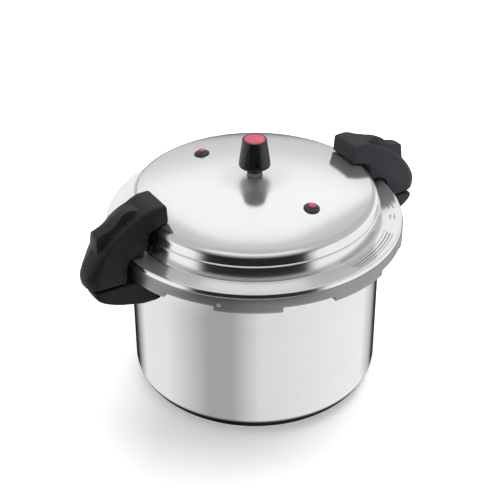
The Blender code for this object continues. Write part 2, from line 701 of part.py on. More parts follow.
def make_jar_rack():
    low, high = RACK_Z
    centre_r, hole_r = RACK_HOLE_R
    outline = [(centre_r, high), (RACK_R, high), (RACK_R, low), (centre_r, low), (centre_r, high)]
    rack = add_object("jar_rack", turned(outline, 48), SATIN_ALUMINIUM)
    for i in range(RACK_HOLES):
        place = Matrix.Translation(around(RACK_HOLE_RING_R, (i + 0.5) * 360 / RACK_HOLES) * MM)
        hole = rod(hole_r, low - 3, high + 3)
        combine(rack, add_object("cut_rack_hole_%d" % i, hole, None, place=place))
    for i in range(RACK_LEGS):
        leg = box((96.0, -9.0, POT_BASE + GAP), (98.0, 9.0, low + 0.8))
        place = Matrix.Rotation(math.radians(i * 360 / RACK_LEGS + 45), 4, "Z")
        combine(rack, add_object("join_rack_leg_%d" % i, leg, None, place=place), "UNION")


def main():
    clear_scene()
    pot = make_pot_body()
    lid = make_lid_shell()
    make_gasket()
    for label, side in (("right", 1), ("left", -1)):
        make_pot_handle(label, side)
        make_pot_rivets(pot, make_pot_bracket(label, side), label, side)
        make_pot_screw(label, side)
        make_lid_handle(label, side)
        make_lid_rivets(lid, make_lid_strap(label, side), label, side)
        make_lid_screw(label, side)
    make_vent_pipe()
    make_vent_washer()
    make_vent_nut()
    for number, azimuth in enumerate(VALVE_DEG, 1):
        make_valve(lid, number, azimuth)
    make_weight_body()
    make_weight_core()
    make_weight_cap()
    make_jar_rack()


main()
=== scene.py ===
import math

import bmesh
import bpy
from mathutils import Matrix, Vector


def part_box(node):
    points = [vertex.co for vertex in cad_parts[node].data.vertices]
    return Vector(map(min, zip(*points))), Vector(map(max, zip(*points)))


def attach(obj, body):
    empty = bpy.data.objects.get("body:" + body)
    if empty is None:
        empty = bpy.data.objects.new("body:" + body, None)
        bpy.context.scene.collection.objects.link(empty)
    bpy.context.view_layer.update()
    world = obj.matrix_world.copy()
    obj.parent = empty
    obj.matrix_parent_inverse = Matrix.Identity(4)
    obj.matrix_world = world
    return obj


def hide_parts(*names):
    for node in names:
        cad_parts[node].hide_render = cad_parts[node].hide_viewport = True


# The pressure canner's finished surfaces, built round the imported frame.
# Shapes are worked out in millimetres and become metres in add_piece(). The handles lie along X.

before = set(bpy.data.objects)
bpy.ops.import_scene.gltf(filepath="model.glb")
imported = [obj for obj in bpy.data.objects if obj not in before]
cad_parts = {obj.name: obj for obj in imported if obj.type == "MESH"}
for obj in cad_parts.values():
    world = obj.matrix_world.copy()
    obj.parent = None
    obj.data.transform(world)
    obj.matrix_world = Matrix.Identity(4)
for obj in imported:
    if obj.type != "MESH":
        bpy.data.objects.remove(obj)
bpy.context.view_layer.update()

MM = 0.001


def low_of(node):
    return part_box(node)[0] / MM


def high_of(node):
    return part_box(node)[1] / MM


# Sizes read from the frame
PIPE_ABOVE_CROWN = 27.0
POT_TOP_Z = high_of("pot_body").z
SKIRT_R = high_of("lid_shell").x - 0.05
CROWN_Z = high_of("vent_pipe").z - PIPE_ABOVE_CROWN
TAB_BOTTOM_Z = low_of("lid_shell").z
WEIGHT_Z = (low_of("weight_body").z, high_of("weight_body").z)
GASKET_Z = (low_of("gasket").z, high_of("gasket").z)
RACK_TOP_Z = high_of("jar_rack").z
RACK_R = high_of("jar_rack").x
LID_HANDLE_X = (low_of("lid_handle_right").x, high_of("lid_handle_right").x)
LID_HANDLE_BOTTOM_Z = low_of("lid_handle_right").z
POT_HANDLE_END_X = high_of("pot_handle_right").x
POT_HANDLE_Z = (low_of("pot_handle_right").z, high_of("pot_handle_right").z)
HANDLE_HALF_W = high_of("lid_handle_right").y

# Turned surfaces, and the bayonet: the pot's lugs under the lid's tabs
TURN_STEPS = 288
SHARP_DEG = 40.0
BEVEL_OVER_DEG = 60.0
LUG_COUNT = 8
LUG_CENTRE_DEG = 11.0
LUG_HALF_DEG = 7.5
TAB_HALF_DEG = 12.5

# Pot: radii and heights
POT_R = 130.0
POT_WALL = 2.5
POT_BASE = 4.0
POT_CORNER_R = 24.0
RIM_R = 137.0
RIM_FLARE_Z = (167.8, 171.6)
LUG_Z = (173.3, 178.5)
LUG_R = 147.5

# Lid: the dome, its wall with a ledge half way down, the flange and the skirt
LID_WALL = 2.2
DOME_R = 510.0
SHOULDER_R = 9.0
DOME_FINISH_R = 115.0  # the frosted finish ends where the shoulder begins
WALL_LEAN_DEG = 9.0
UPPER_WALL_R = (125.9, 126.9)
LOWER_WALL_R = (128.3, 130.1)
LEDGE_Z = (206.4, 204.9)
FLANGE_Z = 190.3
FLANGE_LIP_Z = 191.4
FLANGE_FLAT_R = (131.8, 149.9)
FLANGE_SLOPE = 0.06  # how steeply its top rises outwards, under the marks
FLANGE_SLOPE_FROM_R = 136.0
FLANGE_FILLET = 1.5
EDGE_R = 151.4  # where the flange turns down to the skirt
SKIRT_TOP_Z = 186.8
SKIRT_BOTTOM_Z = 175.6
TAB_LIP = 2.7
TAB_INNER_R = 141.0
PIPE_HOLE_R = 4.9
GASKET_R = (128.2, 136.6)

# Marks on the lid: dashes and ticks on the flange, and an arrow head on the skirt over a lug
MARK_HEIGHT = 0.12
DASH_ROWS = (136.0, 139.2, 142.4, 145.6)
DASH_DEG = (-80.0, -48.0)
DASH_ROW_DEG = 0.7  # each row is this much shorter at both ends than the one inside it
DASH_HALF_WIDTH = 0.7
DASH_GAP = 0.7
TICK_DEG = (-29.0, -37.5)
TICK_STEPS_DEG = (0.0, 1.3, 2.6)
TICK_R = (134.8, 139.2, 143.6)
TICK_SIZE = (2.2, 1.2)
ARROW_DEG = -134.5
ARROW_Z = 177.5
ARROW_R = (2.9, 1.5)

# Handles: the long side edges are quarter rounds
HANDLE_EDGE = 2.6

# Lid handles
LID_HANDLE_ARC_X = 123.0
LID_HANDLE_TOP_Z = 241.5
LID_HANDLE_WIDEST_Z = 179.0
LID_HANDLE_FOOT_Z = 222.0
ARCH = (  # (radius, height) of the hollow under the handle, from its lower end to its foot
    (160.5, 168.3),
    (158.6, 171.0),
    (158.1, 180.0),
    (156.6, 189.5),
    (151.5, 195.4),
    (144.0, 197.4),
    (135.2, 197.6),
    (132.8, 216.0),
    (125.5, 219.2),
    (117.0, 221.9),
)
ARCH_EDGE_SHARE = 0.2  # the side edges are sharper round the hollow
ARCH_EDGE_Z = (224.0, 232.0)  # they grow round again over this height, and outwards over this stretch
ARCH_EDGE_X = (164.0, 175.0)
TOP_CURVE_POWER = 1.45
TOP_CURVE_STEPS = 44
LID_END_ROUNDING = ((10.0, 4.0), (13.0, 1.7))  # how far the end draws back, and its power: front, back
WING_X = (136.0, 181.5)  # the finger grip on top
WING_Y = (-9.5, 17.0)
WING_RISE = 15.0
WING_WAVE = 7.5
BACK_DROP = 2.5  # how far the top falls towards the far side
BACK_DROP_X = (120.0, 146.0)

# Pot handles: they grow wider and thinner towards the pot
POT_END_ROUNDING = ((1.0, 4.0), (14.0, 1.5))
ROOT_FLARE = 0.34
ROOT_LIFT = 7.5
ROOT_LIFT_BELOW_Z = 150.0
ROOT_FLARE_X = 146.0

# Weight and valves
WEIGHT_R = (16.0, 12.4)
WEIGHT_BORE_R = 9.4
WEIGHT_BORE_TOP_Z = 270.0
STEAM_HOLE_Z = 251.5
STEAM_HOLE_R = 1.5
STEAM_HOLE_DEG = (-112.0, 68.0)
CAP_R = 10.8
VALVE_R = 79.2
VALVE_DEG = (-77.0, 103.0)
VALVE_HOLE_R = 5.3

# Jar rack
RACK_THICKNESS = 1.6
RACK_HOLES = 8
RACK_HOLE_R = 13.0
RACK_HOLE_PLACE_R = 78.0
RACK_LEGS = 3

# Camera, in metres
CAMERA_PLACE = Vector((-0.5771, -0.9344, 0.8510))
CAMERA_TARGET = Vector((-0.0042, 0.0026, 0.1433))
CAMERA_ROLL_DEG = -0.16
CAMERA_LENS = 89.4

# Floor and the painted reflection card, in metres
FLOOR_Z = -0.0002
FLOOR_GLOW = 0.30
CARD_Z = 0.0001
CARD_HALF_DEG = 84
CARD_REACHES = (0.0, 0.004, 0.010, 0.020, 0.04, 0.08, 0.12, 0.16, 0.20, 0.24, 0.28, 0.36)
CARD_TUCK = 0.108  # share of the pot's radius that the card reaches in under the pot's round corner
CARD_TUCK_REACH = 0.04
# Painted shade: the card glows dark close to the pot, standing in for the shadow where the pot meets the
# table
PAINTED_CONTACT_SHADE_REACH = (0.0125, 0.019)  # the dark line where the pot meets the table
PAINTED_CONTACT_SHADE_TONE = 0.02
FAR_REACH = (0.250, 0.268)  # from here on the card has the tones that the lid's skirt mirrors

# Painted reflection tones across the card, from -1 at the left of the photo's view to 1 at the right
PAINTED_WALL_REFLECTION = [  # bright panels at both sides of a grey gap, with a dark edge at each end
    (-1.0, 0.02),
    (-0.98, 0.03),
    (-0.96, 0.4),
    (-0.92, 0.86),
    (-0.75, 0.84),
    (-0.4, 0.4),
    (-0.2, 0.4),
    (0.05, 0.76),
    (0.9, 0.93),
    (0.96, 0.55),
    (0.985, 0.03),
]
PAINTED_SKIRT_REFLECTION = [(-1.0, 0.3), (-0.8, 0.65), (-0.45, 0.13), (-0.2, 0.16), (0.5, 0.65), (1.0, 0.6)]

# The studio round the object, in degrees. Azimuth runs from 0 at the camera to 180 behind the object.
# Each pair is where a region starts and where it has its full tone.
CEILING = 0.53
CAMERA_SIDE_AZIMUTH = (68, 44)
CAMERA_SIDE_TONES = [  # elevation, tone
    (-20, 0.012),
    (0, 0.02),
    (10, 0.05),
    (18, 0.22),
    (27, 0.40),
    (36, 0.56),
    (44, 0.8),
    (50, 0.95),
    (58, 0.95),
    (66, 0.53),
]
SIDE_WALLS = {"azimuth": [(42, 58), (156, 140)], "elevation": (14, 4), "tone": 1.0}
PALE_FLOOR = {"azimuth": [(42, 58)], "elevation": (-5, -11), "tone": 0.95}
LOW_BACK = {"azimuth": [(160, 166)], "elevation": (5, 0), "tone": 0.06}
BELOW_CAMERA = {"azimuth": [(56, 42)], "elevation": (-14, -24), "tone": 0.012}
SOFT_BOX_BOTTOM = (0, 5)
SOFT_BOX_HALF_WIDTH = 22.0  # either side of straight behind
SOFT_BOX_MIDDLE = 20.0  # its top corners round off above this elevation
SOFT_BOX_RISE = 37.0
SOFT_BOX_CORNER_POWER = 3.0
SOFT_BOX_EDGE = (1.08, 0.92)
SOFT_BOX_TONES = [(5, 0.58), (14, 0.64), (20, 0.76), (26, 0.93), (32, 1.0)]  # elevation, tone


# ---------------------------------------------------------------- shapes


def arc(centre, radius, start_deg, end_deg, steps):
    points = []
    for i in range(steps + 1):
        a = math.radians(start_deg + (end_deg - start_deg) * i / steps)
        points.append((centre[0] + radius * math.cos(a), centre[1] + radius * math.sin(a)))
    return points


def rounded(corners, steps=4):
    """A closed outline through the corners (x, z, rounding)."""
    points = []
    for i, (x, z, rounding) in enumerate(corners):
        here = Vector((x, z))
        if rounding <= 0:
            points.append((x, z))
            continue
        before = Vector(corners[i - 1][:2]) - here
        after = Vector(corners[(i + 1) % len(corners)][:2]) - here
        start = here + before.normalized() * min(rounding, before.length * 0.48)
        end = here + after.normalized() * min(rounding, after.length * 0.48)
        for k in range(steps + 1):
            t = k / steps
            point = start * (1 - t) ** 2 + here * 2 * t * (1 - t) + end * t * t
            points.append(tuple(point))
    return points


def smooth_through(points, per_span):
    """Points along a smooth curve through the given ones, both ends included."""
    known = [Vector(p) for p in points]
    known = [known[0] * 2 - known[1]] + known + [known[-1] * 2 - known[-2]]
    made = []
    for a, b, c, d in zip(known, known[1:], known[2:], known[3:]):
        for k in range(per_span):
            t = k / per_span
            bend = b * 2 + (c - a) * t + (a * 2 - b * 5 + c * 4 - d) * t**2 + (b * 3 - a - c * 3 + d) * t**3
            made.append(tuple(bend / 2))
    return made + [tuple(points[-1])]


def turned(outline, steps, first_deg=0.0):
    """A closed (radius, height) outline, spun about Z."""
    bm = bmesh.new()
    rings = []
    for r, z in outline:
        if r < 1e-6:
            rings.append([bm.verts.new((0, 0, z))])
            continue
        ring = []
        for k in range(steps):
            a = math.radians(first_deg + 360.0 * k / steps)
            ring.append(bm.verts.new((r * math.cos(a), r * math.sin(a), z)))
        rings.append(ring)
    closed = list(zip(rings, rings[1:] + rings[:1]))
    for upper, lower in closed:
        if len(upper) == 1 and len(lower) == 1:
            continue
        for k in range(steps):
            corners = [upper[k % len(upper)], upper[(k + 1) % len(upper)]]
            corners += [lower[(k + 1) % len(lower)], lower[k % len(lower)]]
            bm.faces.new(list(dict.fromkeys(corners)))
    return bm


def lofted(outline_at, stations):
    """A solid through the outlines at each station along Y, capped at both ends."""
    bm = bmesh.new()
    rings = [[bm.verts.new((x, y, z)) for x, z in outline_at(y)] for y in stations]
    count = len(rings[0])
    for near, far in zip(rings, rings[1:]):
        for i in range(count):
            j = (i + 1) % count
            bm.faces.new((near[i], near[j], far[j], far[i]))
    bm.faces.new(rings[0])
    bm.faces.new(rings[-1])
    return bm


def prism(outline, low_y, high_y):
    return lofted(lambda y: outline, (low_y, high_y))


def bevel_sharp(bm, width):
    """Rounds the sharp edges."""
    bm.normal_update()
    limit = math.radians(BEVEL_OVER_DEG)
    sharp = [edge for edge in bm.edges if len(edge.link_faces) == 2 and edge.calc_face_angle(0) > limit]
    bmesh.ops.bevel(
        bm, geom=sharp, offset=width, offset_type="OFFSET", segments=3, profile=0.5, affect="EDGES",
        clamp_overlap=True,
    )


def mirrored(bm, side):
    if side < 0:
        bmesh.ops.transform(bm, matrix=Matrix.Scale(-1, 4, (1, 0, 0)), verts=bm.verts)
    return bm


def around(radius, degrees, height=0.0):
    a = math.radians(degrees)
    return Vector((radius * math.cos(a), radius * math.sin(a), height))


def in_sector(point, half_deg):
    """True within one of the evenly spaced sectors of the bayonet."""
    pitch = 360.0 / LUG_COUNT
    angle = math.degrees(math.atan2(point.y, point.x)) - LUG_CENTRE_DEG
    return abs((angle + pitch / 2) % pitch - pitch / 2) < half_deg


def flat_radius(point):
    return math.hypot(point.x, point.y)


def extruded_verts(bm, faces):
    made = bmesh.ops.extrude_face_region(bm, geom=faces)
    bmesh.ops.delete(bm, geom=faces, context="FACES")
    return [item for item in made["geom"] if isinstance(item, bmesh.types.BMVert)]


def move_radially(verts, distance):
    for vert in verts:
        vert.co += Vector((vert.co.x, vert.co.y, 0)).normalized() * distance


def ramp(value, start, end):
    """0 before start, 1 after end, with a smooth step between."""
    share = min(1.0, max(0.0, (value - start) / (end - start)))
    return share * share * (3 - 2 * share)


# ---------------------------------------------------------------- materials


def add_node(tree, kind, inputs=None, **settings):
    """A node with its settings, and its inputs linked to sockets or set to values."""
    made = tree.nodes.new(kind)
    for key, value in settings.items():
        setattr(made, key, value)
    for key, value in (inputs or {}).items():
        if isinstance(value, bpy.types.NodeSocket):
            tree.links.new(value, made.inputs[key])
        else:
            made.inputs[key].default_value = value
    return made


def maths(tree, operation, *values):
    return add_node(tree, "ShaderNodeMath", dict(enumerate(values)), operation=operation).outputs[0]


def remap(tree, value, from_low, from_high, to_low, to_high, smooth=False):
    made = add_node(
        tree, "ShaderNodeMapRange",
        {"Value": value, "From Min": from_low, "From Max": from_high, "To Min": to_low, "To Max": to_high},
    )
    if smooth:
        made.interpolation_type = "SMOOTHSTEP"
    return made.outputs["Result"]


def noise(tree, vector, scale, detail=3.0, roughness=0.55):
    inputs = {"Vector": vector, "Scale": scale, "Detail": detail, "Roughness": roughness}
    return add_node(tree, "ShaderNodeTexNoise", inputs).outputs["Fac"]


def grey(value):
    return (value, value, value)


def colour_ramp(tree, value, stops):
    made = add_node(tree, "ShaderNodeValToRGB", {"Fac": value})
    elements = made.color_ramp.elements
    while len(elements) < len(stops):
        elements.new(0.5)
    for element, (position, colour) in zip(elements, stops):
        element.position = position
        element.color = (*colour, 1.0)
    return made.outputs["Color"]


def tone_ramp(tree, share, tones):
    """Greys by place across the view, from -1 at the left to 1 at the right."""
    return colour_ramp(tree, share, [((at + 1) / 2, grey(value)) for at, value in tones])


def by_elevation(tree, elevation, tones):
    """Greys by elevation, from a list of degrees and tones."""
    low, high = tones[0][0], tones[-1][0]
    share = remap(tree, elevation, math.radians(low), math.radians(high), 0.0, 1.0)
    return colour_ramp(tree, share, [((at - low) / (high - low), grey(value)) for at, value in tones])


def blend(tree, factor, first, second):
    """Mixes two colours, each a socket or a grey tone."""
    made = add_node(tree, "ShaderNodeMix", data_type="RGBA")
    for key, value in ((0, factor), (6, first), (7, second)):
        if isinstance(value, bpy.types.NodeSocket):
            tree.links.new(value, made.inputs[key])
        else:
            made.inputs[key].default_value = (*grey(value), 1.0)
    return made.outputs[2]


def start_material(name, colour, roughness, metallic):
    made = bpy.data.materials.new(name)
    made.use_nodes = True
    tree = made.node_tree
    shader = tree.nodes["Principled BSDF"]
    shader.inputs["Base Color"].default_value = (*colour, 1.0)
    shader.inputs["Roughness"].default_value = roughness
    shader.inputs["Metallic"].default_value = metallic
    place = add_node(tree, "ShaderNodeTexCoord").outputs["Object"]
    return made, tree, shader, place


def separated(tree, vector):
    return add_node(tree, "ShaderNodeSeparateXYZ", {"Vector": vector}).outputs


def radius_at(tree, x, y):
    squares = maths(tree, "ADD", maths(tree, "MULTIPLY", x, x), maths(tree, "MULTIPLY", y, y))
    return maths(tree, "SQRT", squares)


def spun_coordinate(tree, place):
    """Runs outwards over a turned piece and hardly changes round it, as marks of polishing on a lathe do."""
    x, y, z = separated(tree, place)
    along = maths(tree, "ADD", radius_at(tree, x, y), z)
    round_it = maths(tree, "MULTIPLY", maths(tree, "ARCTAN2", y, x), 0.004)
    combined = add_node(tree, "ShaderNodeCombineXYZ", {"X": along, "Y": round_it, "Z": 0.0})
    return combined.outputs["Vector"]


def bumped(tree, shader, height, strength, distance):
    bump = add_node(tree, "ShaderNodeBump", {"Height": height, "Strength": strength, "Distance": distance})
    tree.links.new(bump.outputs["Normal"], shader.inputs["Normal"])


def metal(name, dark, light, roughness, line_pitch, line_depth, metallic=1.0):
    """Turned metal with fine lathe lines and a cloudy polish. A lower metallic value looks frosted."""
    made, tree, shader, place = start_material(name, light, roughness[0], metallic)
    lines = noise(tree, spun_coordinate(tree, place), 1.0 / (line_pitch * MM), 2.0)
    clouds = noise(tree, place, 14.0, 4.0)
    tone = maths(tree, "ADD", maths(tree, "MULTIPLY", lines, 0.4), maths(tree, "MULTIPLY", clouds, 0.6))
    colour = colour_ramp(tree, tone, [(0.3, dark), (0.7, light)])
    tree.links.new(colour, shader.inputs["Base Color"])
    tree.links.new(remap(tree, tone, 0.3, 0.7, roughness[1], roughness[0]), shader.inputs["Roughness"])
    bumped(tree, shader, lines, 0.35, line_depth * MM)
    return made


def matte_centre(made, radius, fade, roughness):
    """Blurs a turned finish towards its middle, where the lathe's polishing wheel doesn't reach."""
    tree = made.node_tree
    shader = tree.nodes["Principled BSDF"]
    outer = shader.inputs["Roughness"].links[0].from_socket
    x, y, _ = separated(tree, add_node(tree, "ShaderNodeTexCoord").outputs["Object"])
    out = radius_at(tree, x, y)
    share = remap(tree, out, (radius + fade) * MM, (radius - fade) * MM, 0.0, 1.0, smooth=True)
    added = maths(tree, "MULTIPLY", maths(tree, "SUBTRACT", roughness, outer), share)
    tree.links.new(maths(tree, "ADD", outer, added), shader.inputs["Roughness"])


def moulded(name, dark, light, roughness, grain, depth, specular=0.5):
    """Moulded plastic or rubber: a fine grain and faint clouds in its tone and gloss."""
    made, tree, shader, place = start_material(name, light, roughness[0], 0.0)
    shader.inputs["Specular IOR Level"].default_value = specular
    fine = noise(tree, place, 1.0 / (grain * MM), 3.0, 0.6)
    clouds = noise(tree, place, 45.0, 4.0)
    colour = colour_ramp(tree, clouds, [(0.3, dark), (0.7, light)])
    tree.links.new(colour, shader.inputs["Base Color"])
    tree.links.new(remap(tree, clouds, 0.3, 0.7, roughness[0], roughness[1]), shader.inputs["Roughness"])
    bumped(tree, shader, fine, 0.3, depth * MM)
    return made


POLISHED_POT = metal("polished_pot", grey(0.86), grey(0.91), (0.07, 0.11), 1.3, 0.002)
POLISHED_LID = metal("polished_dome", grey(0.87), grey(0.92), (0.15, 0.20), 1.3, 0.002)
SATIN_DOME = metal("satin_dome", grey(0.87), grey(0.90), (0.12, 0.16), 1.3, 0.002, 0.94)
matte_centre(SATIN_DOME, 36.0, 14.0, 0.38)
PALE_ARROW = metal("pale_arrow", grey(0.45), grey(0.55), (0.50, 0.60), 0.4, 0.003, 0.2)
MARKING = metal("marking", grey(0.07), grey(0.12), (0.45, 0.55), 0.4, 0.004, 0.0)
SATIN_FLANGE = metal("satin_flange", grey(0.78), grey(0.82), (0.12, 0.17), 0.6, 0.003, 0.88)
SATIN_SKIRT = metal("satin_skirt", grey(0.36), grey(0.44), (0.30, 0.38), 0.5, 0.01)
SATIN = metal("satin_aluminium", grey(0.55), grey(0.66), (0.30, 0.40), 0.6, 0.01)
STEEL = metal("steel", grey(0.50), grey(0.60), (0.22, 0.32), 0.5, 0.006)
# Painted shade: the vent pipe's steel is made dark so that it sits in with the shade under the weight
SHADED_PIPE_STEEL = metal("pipe_steel_painted_shade", grey(0.20), grey(0.26), (0.36, 0.44), 0.5, 0.006)
BLACK_STEEL = metal("blackened_steel", grey(0.03), grey(0.05), (0.35, 0.45), 0.5, 0.006)
PHENOLIC = moulded("phenolic", (0.010, 0.010, 0.013), (0.015, 0.015, 0.018), (0.42, 0.52), 0.35, 0.02, 0.25)
WEIGHT_BLACK = moulded("weight_black", (0.008, 0.008, 0.010), (0.013, 0.013, 0.015), (0.22, 0.30), 0.4, 0.01)
RUBBER = moulded("black_rubber", (0.020, 0.019, 0.019), (0.034, 0.033, 0.033), (0.42, 0.52), 0.3, 0.015)
RED = moulded("red_plastic", (0.36, 0.045, 0.078), (0.42, 0.060, 0.096), (0.28, 0.36), 0.5, 0.008)
SILICONE = moulded("silicone", (0.52, 0.52, 0.50), (0.60, 0.60, 0.58), (0.45, 0.55), 0.5, 0.01)


# ---------------------------------------------------------------- pieces


def add_object(name, data, place=None):
    obj = bpy.data.objects.new(name, data)
    bpy.context.scene.collection.objects.link(obj)
    if place is not None:
        obj.matrix_world = place
    return obj


def add_mesh(name, bm, place=None):
    mesh = bpy.data.meshes.new(name)
    bm.to_mesh(mesh)
    bm.free()
    return add_object(name, mesh, place)


def add_piece(name, bm, materials, body, nodes, place=None):
    """Turns the millimetre mesh into a piece that rides on the body and stands for the CAD nodes."""
    bmesh.ops.remove_doubles(bm, verts=bm.verts, dist=1e-4)
    bmesh.ops.recalc_face_normals(bm, faces=bm.faces)
    bmesh.ops.transform(bm, matrix=Matrix.Scale(MM, 4), verts=bm.verts)
    obj = add_mesh(name, bm, place)
    obj.data.shade_smooth()
    obj.data.set_sharp_from_angle(angle=math.radians(SHARP_DEG))
    for made in materials if isinstance(materials, list) else [materials]:
        obj.data.materials.append(made)
    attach(obj, body)
    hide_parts(*nodes)
    return obj


def add_cutter(name, bm, place=None):
    bmesh.ops.transform(bm, matrix=Matrix.Scale(MM, 4), verts=bm.verts)
    bmesh.ops.recalc_face_normals(bm, faces=bm.faces)
    return add_mesh(name, bm, place)


def cut(target, cutter, operation="DIFFERENCE"):
    """Cuts the cutter out of the target's mesh, or joins it on, and removes the cutter."""
    modifier = target.modifiers.new("cut", "BOOLEAN")
    modifier.operation = operation
    modifier.solver = "EXACT"
    modifier.object = cutter
    bpy.context.view_layer.update()
    evaluated = target.evaluated_get(bpy.context.evaluated_depsgraph_get())
    mesh = bpy.data.meshes.new_from_object(evaluated)
    target.modifiers.clear()
    target.data = mesh
    bpy.data.objects.remove(cutter, do_unlink=True)


def rod(radius, low_z, high_z, steps=32):
    return turned([(0, high_z), (radius, high_z), (radius, low_z), (0, low_z)], steps)


def pot_outline():
    inner_r = POT_R - POT_WALL
    inner_corner = POT_CORNER_R - POT_WALL
    outline = arc((RIM_R - 1.0, POT_TOP_Z - 1.0), 1.0, 90, 0, 4)
    outline += [(RIM_R, z) for z in (LUG_Z[1], LUG_Z[0], RIM_FLARE_Z[1] + 0.4)]
    outline += smooth_through([(RIM_R - 0.2, RIM_FLARE_Z[1] - 0.3), (POT_R + 0.3, RIM_FLARE_Z[0] + 0.2)], 3)
    outline += [(POT_R, z) for z in (RIM_FLARE_Z[0] - 0.4, 140.0, 110.0, 80.0, 50.0)]
    outline += arc((POT_R - POT_CORNER_R, POT_CORNER_R), POT_CORNER_R, 0, -90, 24)
    outline += [(90.0, 0.0), (88.5, 0.5), (60.0, 0.6), (0, 0.6), (0, POT_BASE)]
    outline += arc((inner_r - inner_corner, POT_BASE + inner_corner), inner_corner, -90, 0, 14)
    outline += [(inner_r, z) for z in (60.0, 90.0, 120.0, 150.0, POT_TOP_Z - 1.2)]
    outline += arc((inner_r + 1.2, POT_TOP_Z - 1.2), 1.2, 180, 90, 4)
    return outline


def make_pot_body():
    bm = turned(pot_outline(), TURN_STEPS, LUG_CENTRE_DEG - LUG_HALF_DEG)
    middle_z = (LUG_Z[0] + LUG_Z[1]) / 2
    lugs = []
    for face in bm.faces:
        centre = face.calc_center_median()
        if abs(centre.z - middle_z) < 0.5 and flat_radius(centre) > POT_R and in_sector(centre, LUG_HALF_DEG):
            lugs.append(face)
    move_radially(extruded_verts(bm, lugs), LUG_R - RIM_R)
    bevel_sharp(bm, 0.5)
    add_piece("pot_shell", bm, POLISHED_POT, "pot", ["pot_body"])


def dome_z(radius):
    return CROWN_Z - DOME_R + math.sqrt(DOME_R**2 - radius**2)


def lid_outline():
    """From the pipe hole down the outside to the skirt's edge, and back up the inside."""
    lean_in = math.radians(WALL_LEAN_DEG)
    shoulder_x = UPPER_WALL_R[0] - SHOULDER_R * math.cos(lean_in)
    lean = math.asin(shoulder_x / DOME_R)
    centre = (shoulder_x, dome_z(shoulder_x) - SHOULDER_R / math.cos(lean) + 0.02)
    outer = [(PIPE_HOLE_R, dome_z(PIPE_HOLE_R))]
    outer += [(r, dome_z(r)) for r in range(10, 115, 5)]
    outer += arc(centre, SHOULDER_R, 90.0 - math.degrees(lean), WALL_LEAN_DEG, 18)
    outer += [(UPPER_WALL_R[1], LEDGE_Z[0] + 0.9), (UPPER_WALL_R[1] + 0.2, LEDGE_Z[0] + 0.2)]
    outer += [(UPPER_WALL_R[1] + 0.6, LEDGE_Z[0]), (LOWER_WALL_R[0] - 0.2, LEDGE_Z[1] + 0.3)]
    outer += [(LOWER_WALL_R[0], LEDGE_Z[1] - 0.4)]
    outer += arc((FLANGE_FLAT_R[0], FLANGE_Z + FLANGE_FILLET), FLANGE_FILLET, 190, 270, 10)
    outer += [(139.0, FLANGE_Z + 0.2), (145.0, FLANGE_Z + 0.6), (FLANGE_FLAT_R[1] - 1.6, FLANGE_LIP_Z - 0.1)]
    corners = [(FLANGE_FLAT_R[1] - 1.0, FLANGE_LIP_Z, 0), (EDGE_R, FLANGE_LIP_Z, 1.5)]
    corners += [(EDGE_R + 0.4, SKIRT_TOP_Z, 0.2), (SKIRT_R, SKIRT_TOP_Z - 0.4, 0.3), (SKIRT_R, 180.0, 0)]
    corner = rounded(corners, 5)
    outer += corner + [(SKIRT_R, 178.0), (SKIRT_R, SKIRT_BOTTOM_Z)]
    t = LID_WALL
    inner = [(SKIRT_R - t, SKIRT_BOTTOM_Z), (SKIRT_R - t, 179.0)]
    inner += arc((147.8, FLANGE_Z - t - 2.6), 2.6, 0, 90, 6)
    inner += [(FLANGE_FLAT_R[0] - 0.2, FLANGE_Z - t), (LOWER_WALL_R[1] - t, 191.4)]
    inner += [(LOWER_WALL_R[0] - t, LEDGE_Z[1] - 0.8), (UPPER_WALL_R[1] - t, LEDGE_Z[0] - 0.8)]
    inner += arc(centre, SHOULDER_R - t, WALL_LEAN_DEG, 90.0 - math.degrees(lean), 10)
    inner += [(r, dome_z(r) - t) for r in range(110, 5, -10)] + [(PIPE_HOLE_R, dome_z(PIPE_HOLE_R) - t)]
    return outer + inner


def make_lid_shell():
    bm = turned(lid_outline(), TURN_STEPS, LUG_CENTRE_DEG - TAB_HALF_DEG)
    edge_faces = []
    for face in bm.faces:
        centre = face.calc_center_median()
        if abs(centre.z - SKIRT_BOTTOM_Z) < 0.01 and in_sector(centre, TAB_HALF_DEG):
            edge_faces.append(face)
    lip_top = TAB_BOTTOM_Z + TAB_LIP
    for depth in (SKIRT_BOTTOM_Z - lip_top, TAB_LIP):
        verts = extruded_verts(bm, edge_faces)
        bmesh.ops.translate(bm, vec=(0, 0, -depth), verts=verts)
        low = min(v.co.z for v in verts)
        edge_faces = [f for f in bm.faces if all(abs(v.co.z - low) < 0.01 for v in f.verts)]
    bm.normal_update()
    lip_faces = []
    for face in bm.faces:
        centre = face.calc_center_median()
        heights = sorted(v.co.z for v in face.verts)
        inside = flat_radius(centre) < SKIRT_R - LID_WALL + 0.2 and abs(face.normal.z) < 0.1
        at_lip = heights[0] < TAB_BOTTOM_Z + 0.1 and heights[-1] < lip_top + 0.1
        if inside and at_lip and len(face.verts) == 4 and in_sector(centre, TAB_HALF_DEG - 0.3):
            lip_faces.append(face)
    move_radially(extruded_verts(bm, lip_faces), TAB_INNER_R - (SKIRT_R - LID_WALL))
    bevel_sharp(bm, 0.45)
    bm.normal_update()
    for face in bm.faces:
        centre = face.calc_center_median()
        radius = flat_radius(centre)
        if radius > TAB_INNER_R - 1 and centre.z < SKIRT_TOP_Z:
            face.material_index = 1
        elif FLANGE_FLAT_R[0] - 0.5 < radius < FLANGE_FLAT_R[1] + 0.6 and centre.z > FLANGE_Z - 0.1:
            face.material_index = 2
        elif radius < DOME_FINISH_R and centre.z > dome_z(radius) - 0.5:
            face.material_index = 3
    finishes = [POLISHED_LID, SATIN_SKIRT, SATIN_FLANGE, SATIN_DOME]
    lid = add_piece("lid_dome", bm, finishes, "lid", ["lid_shell"])
    for number, azimuth in enumerate(VALVE_DEG, 1):
        cut(lid, add_cutter("valve_hole_%d" % number, rod(VALVE_HOLE_R, -6, 4), valve_place(azimuth)))


